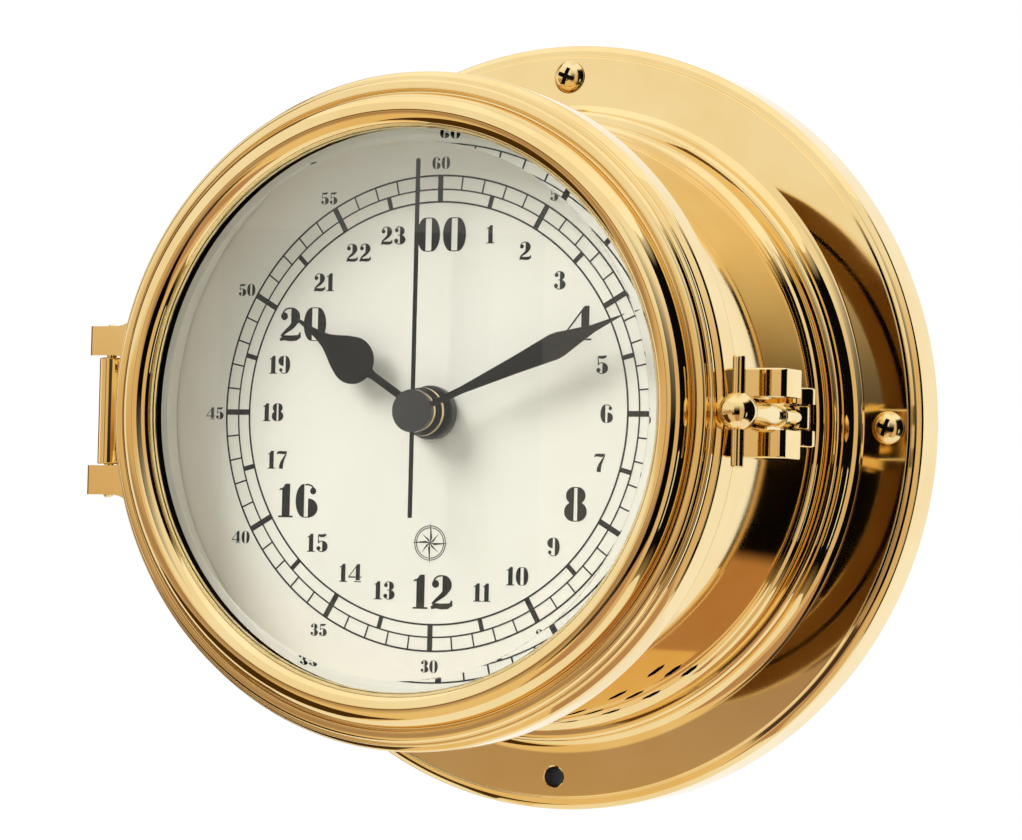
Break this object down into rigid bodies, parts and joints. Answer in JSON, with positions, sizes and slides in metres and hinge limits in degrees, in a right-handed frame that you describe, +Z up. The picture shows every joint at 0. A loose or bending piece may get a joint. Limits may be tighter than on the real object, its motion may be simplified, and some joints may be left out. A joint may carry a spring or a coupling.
{
  "type": "porthole marine clock",
  "caption": "Round bulkhead clock with a flanged drum case, a hinged glass bezel held shut by a swing bolt and nut, and hour, minute and second hands.",
  "frame": {"origin": "centre of the flange's back face, on the wall plane", "axes": "+Z up towards 12 o'clock, +X to the right as the dial is read, +Y into the wall; the dial faces -Y"},
  "size_m": [0.18, 0.0996, 0.18],
  "materials": {
    "polished_brass": "cast, turned and polished to a mirror",
    "train_brass": "stamped wheels with cut teeth",
    "coil_copper": "enamelled winding wire",
    "steel": "zinc plated, satin",
    "silicon_iron": "stamped sheet",
    "clear_glass": "thick plate glass with a ground and polished bevel",
    "black_rubber": "moulded, matt",
    "ivory_lacquer": "satin lacquer with printed figures",
    "hand_lacquer": "dark gloss lacquer on sheet brass",
    "black_moulding": "injection moulded, fine texture",
    "white_acetal": "moulded gear plastic",
    "bonded_magnet": "moulded bonded magnet",
    "circuit_board": "green solder mask",
    "cell_jacket": "dark plastic sleeve with a bare metal cap"
  },
  "bodies": {
    "case": {"base_flange": "polished_brass", "battery": "cell_jacket", "case_drum": "polished_brass", "centre_nut": "hand_lacquer", "circuit_board": "circuit_board", "coil": "coil_copper", "contact_negative": "steel", "contact_positive": "steel", "cover_screw_30": "steel", "cover_screw_150": "steel", "cover_screw_270": "steel", "crystal_can": "steel", "dial_plate": "ivory_lacquer", "dial_ring": "ivory_lacquer", "hinge_pin": "steel", "latch_pivot_pin": "steel", "mounting_screw_left": "polished_brass", "mounting_screw_right": "polished_brass", "mounting_screw_top": "polished_brass", "movement_front_housing": "black_moulding", "movement_rear_housing": "black_moulding", "rear_cover": "steel", "rubber_washer": "black_rubber", "stator": "silicon_iron", "train_bridge": "steel"},
    "bezel": {"bezel_ring": "polished_brass", "glass": "clear_glass", "glass_gasket": "black_rubber", "glass_retaining_ring": "polished_brass", "bezel_gasket": "black_rubber"},
    "bolt": {"swing_bolt": "polished_brass"},
    "nut": {"latch_nut": "polished_brass", "tommy_bar": "polished_brass"},
    "seconds": {"seconds_wheel": "train_brass", "second_hand": "hand_lacquer"},
    "minutes": {"centre_wheel": "train_brass", "minute_hand": "hand_lacquer"},
    "hours": {"hour_wheel": "white_acetal", "hour_hand": "hand_lacquer"},
    "third": {"third_wheel": "train_brass"},
    "intermediate": {"intermediate_wheel": "white_acetal"},
    "motor_rotor": {"rotor": "bonded_magnet"},
    "motion_wheel": {"minute_wheel": "white_acetal"},
    "knob": {"setting_knob": "black_moulding"}
  },
  "joints": [
    {"name": "bezel_hinge", "type": "hinge", "parent": "case", "child": "bezel", "pos_m": [-0.0818, -0.082, 0], "axis": [0, 0, -1], "range_deg": [0, 110]},
    {"name": "bolt_swing", "type": "hinge", "parent": "case", "child": "bolt", "pos_m": [0.0804, -0.063, 0], "axis": [0, 0, 1], "range_deg": [0, 105]},
    {"name": "nut_turn", "type": "hinge", "parent": "bolt", "child": "nut", "pos_m": [0.0804, -0.0945, 0], "axis": [0, 1, 0], "range_deg": [-20, 20]},
    {"name": "second_hand_turn", "type": "hinge", "parent": "case", "child": "seconds", "pos_m": [0, -0.07, 0], "axis": [0, 1, 0], "continuous": true},
    {"name": "minute_hand_turn", "type": "hinge", "parent": "case", "child": "minutes", "pos_m": [0, -0.07, 0], "axis": [0, 1, 0], "continuous": true},
    {"name": "hour_hand_turn", "type": "hinge", "parent": "case", "child": "hours", "pos_m": [0, -0.07, 0], "axis": [0, 1, 0], "continuous": true},
    {"name": "third_wheel_turn", "type": "hinge", "parent": "case", "child": "third", "pos_m": [0.00612, -0.0682, 0.0106], "axis": [0, 1, 0], "continuous": true},
    {"name": "intermediate_turn", "type": "hinge", "parent": "case", "child": "intermediate", "pos_m": [-0.00812, -0.0621, 0.00296], "axis": [0, 1, 0], "continuous": true},
    {"name": "rotor_turn", "type": "hinge", "parent": "case", "child": "motor_rotor", "pos_m": [-0.01263, -0.0637, 0.01076], "axis": [0, 1, 0], "continuous": true},
    {"name": "motion_wheel_turn", "type": "hinge", "parent": "case", "child": "motion_wheel", "pos_m": [0.0105, -0.0712, 0], "axis": [0, 1, 0], "continuous": true},
    {"name": "knob_turn", "type": "hinge", "parent": "case", "child": "knob", "pos_m": [0.01959, -0.057, -0.00525], "axis": [0, 1, 0], "continuous": true}
  ],
  "couplings": [
    {"joint": "minute_hand_turn", "follows": "second_hand_turn", "ratio": 0.016667},
    {"joint": "hour_hand_turn", "follows": "second_hand_turn", "ratio": 0.00069444},
    {"joint": "third_wheel_turn", "follows": "second_hand_turn", "ratio": -0.13333},
    {"joint": "intermediate_turn", "follows": "second_hand_turn", "ratio": -6},
    {"joint": "rotor_turn", "follows": "second_hand_turn", "ratio": 30},
    {"joint": "motion_wheel_turn", "follows": "second_hand_turn", "ratio": -0.0041667},
    {"joint": "knob_turn", "follows": "second_hand_turn", "ratio": 0.016667}
  ]
}
